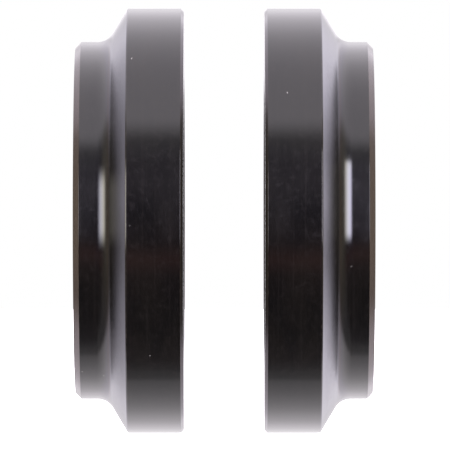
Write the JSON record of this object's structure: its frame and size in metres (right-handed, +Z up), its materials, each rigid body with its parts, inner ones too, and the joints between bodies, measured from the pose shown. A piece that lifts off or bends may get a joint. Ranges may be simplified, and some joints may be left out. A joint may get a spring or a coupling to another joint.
{
  "type": "bottom bracket",
  "caption": "Press-in bottom bracket: a pair of glossy black turned cups with coned shoulders and stepped noses, each holding a sealed bearing for a crank spindle.",
  "frame": {"origin": "on the spindle axis, halfway between the two cups at rest", "axes": "+Y along the spindle axis towards the rider's left, +Z up, +X towards the front of the bicycle"},
  "size_m": [0.0514, 0.036, 0.0514],
  "materials": {
    "black_anodised": "gloss black anodised over fine turning marks",
    "bearing_steel": "fine ground",
    "polished_steel": "polished",
    "cage_nylon": "moulded natural nylon",
    "bearing_seal_rubber": "matte moulded",
    "spring_steel": "dark oiled spring steel",
    "sleeve_acetal": "satin turned acetal",
    "o_ring_rubber": "satin, slightly greased",
    "lip_seal_rubber": "matte moulded"
  },
  "bodies": {
    "right_unit": {"right_cup": "black_anodised", "right_outer_race": "bearing_steel", "right_inboard_bearing_seal": "bearing_seal_rubber", "right_outboard_bearing_seal": "bearing_seal_rubber", "right_retaining_ring": "spring_steel", "right_lip_seal": "lip_seal_rubber"},
    "right_rotor": {"right_inner_race": "bearing_steel", "right_spindle_sleeve": "sleeve_acetal", "right_spindle_o_ring": "o_ring_rubber"},
    "right_balls": {"right_ball_set": "polished_steel", "right_ball_cage": "cage_nylon"},
    "left_unit": {"left_cup": "black_anodised", "left_outer_race": "bearing_steel", "left_inboard_bearing_seal": "bearing_seal_rubber", "left_outboard_bearing_seal": "bearing_seal_rubber", "left_retaining_ring": "spring_steel", "left_lip_seal": "lip_seal_rubber"},
    "left_rotor": {"left_inner_race": "bearing_steel", "left_spindle_sleeve": "sleeve_acetal", "left_spindle_o_ring": "o_ring_rubber"},
    "left_balls": {"left_ball_set": "polished_steel", "left_ball_cage": "cage_nylon"}
  },
  "joints": [
    {"name": "cup_spacing", "type": "slide", "parent": "right_unit", "child": "left_unit", "axis": [0, 1, 0], "range_m": [-0.009, 0.0497]},
    {"name": "right_bearing_spin", "type": "hinge", "parent": "right_unit", "child": "right_rotor", "pos_m": [0, -0.01055, 0], "axis": [0, 1, 0], "continuous": true},
    {"name": "right_ball_orbit", "type": "hinge", "parent": "right_unit", "child": "right_balls", "pos_m": [0, -0.01055, 0], "axis": [0, 1, 0], "continuous": true},
    {"name": "left_bearing_spin", "type": "hinge", "parent": "left_unit", "child": "left_rotor", "pos_m": [0, 0.01055, 0], "axis": [0, 1, 0], "continuous": true},
    {"name": "left_ball_orbit", "type": "hinge", "parent": "left_unit", "child": "left_balls", "pos_m": [0, 0.01055, 0], "axis": [0, 1, 0], "continuous": true}
  ],
  "couplings": [
    {"joint": "right_ball_orbit", "follows": "right_bearing_spin", "ratio": 0.4435},
    {"joint": "left_ball_orbit", "follows": "left_bearing_spin", "ratio": 0.4435}
  ]
}
